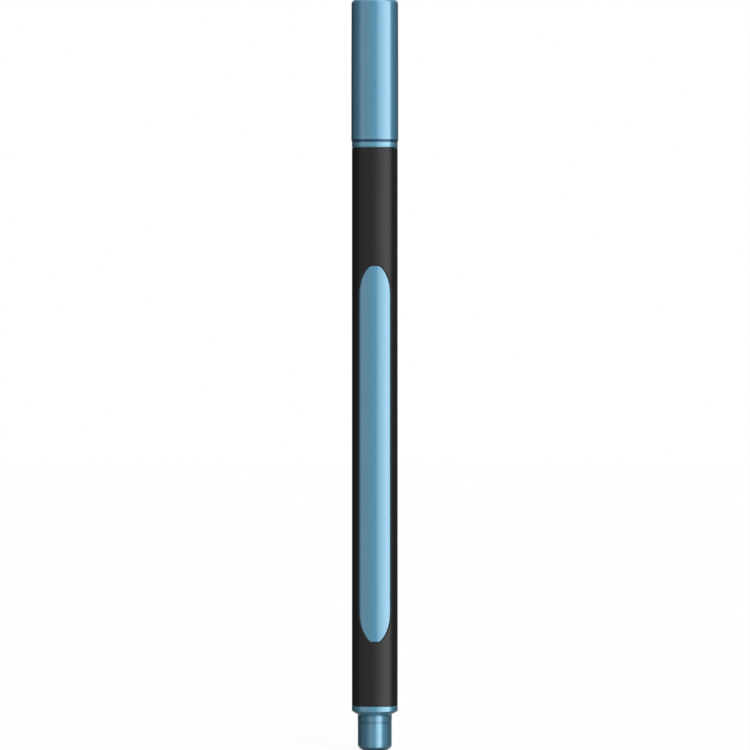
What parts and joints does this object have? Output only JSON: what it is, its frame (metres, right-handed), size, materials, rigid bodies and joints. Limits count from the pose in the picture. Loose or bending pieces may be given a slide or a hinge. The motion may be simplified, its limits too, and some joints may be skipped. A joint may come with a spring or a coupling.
{
  "type": "metallic marker",
  "caption": "Slim three-sided fibre-tip marker in metallic blue with a black grip sleeve, oval windows in the sleeve, a pull-off cap and a round rear stub.",
  "frame": {"origin": "centre of the flat end face of the rear plug, the lowest face of the standing marker", "axes": "+Z along the marker from the rear plug to the cap; -Y out of the flat side whose window the picture shows; +X to the right of that view"},
  "size_m": [0.01, 0.0098, 0.16],
  "materials": {
    "metallic_blue_cap": "moulded plastic with a fine metallic pigment, semi-gloss",
    "metallic_blue_front": "moulded plastic with a fine metallic pigment, semi-gloss",
    "metallic_blue_barrel": "moulded plastic with a fine metallic pigment, semi-gloss",
    "metallic_blue_plug": "moulded plastic with a fine metallic pigment, semi-gloss",
    "soft_black": "soft-touch, satin",
    "natural_plastic": "unpigmented, slightly waxy",
    "nib_fibre": "bonded fibre, ground to a bullet shape, ink soaked",
    "reservoir_fibre": "bundled fibre, ink soaked",
    "clear_film": "thin clear film"
  },
  "bodies": {
    "pen": {"rear_plug": "metallic_blue_plug", "core_barrel": "metallic_blue_barrel", "grip_sleeve": "soft_black", "front_section": "metallic_blue_front", "nib": "nib_fibre", "ink_reservoir": "reservoir_fibre", "reservoir_film": "clear_film", "breather_tube": "natural_plastic"},
    "cap": {"cap_shell": "metallic_blue_cap", "cap_inner_seal": "natural_plastic"}
  },
  "joints": [
    {"name": "cap_slide", "type": "slide", "parent": "pen", "child": "cap", "axis": [0, 0, 1], "range_m": [0, 0.04]}
  ]
}
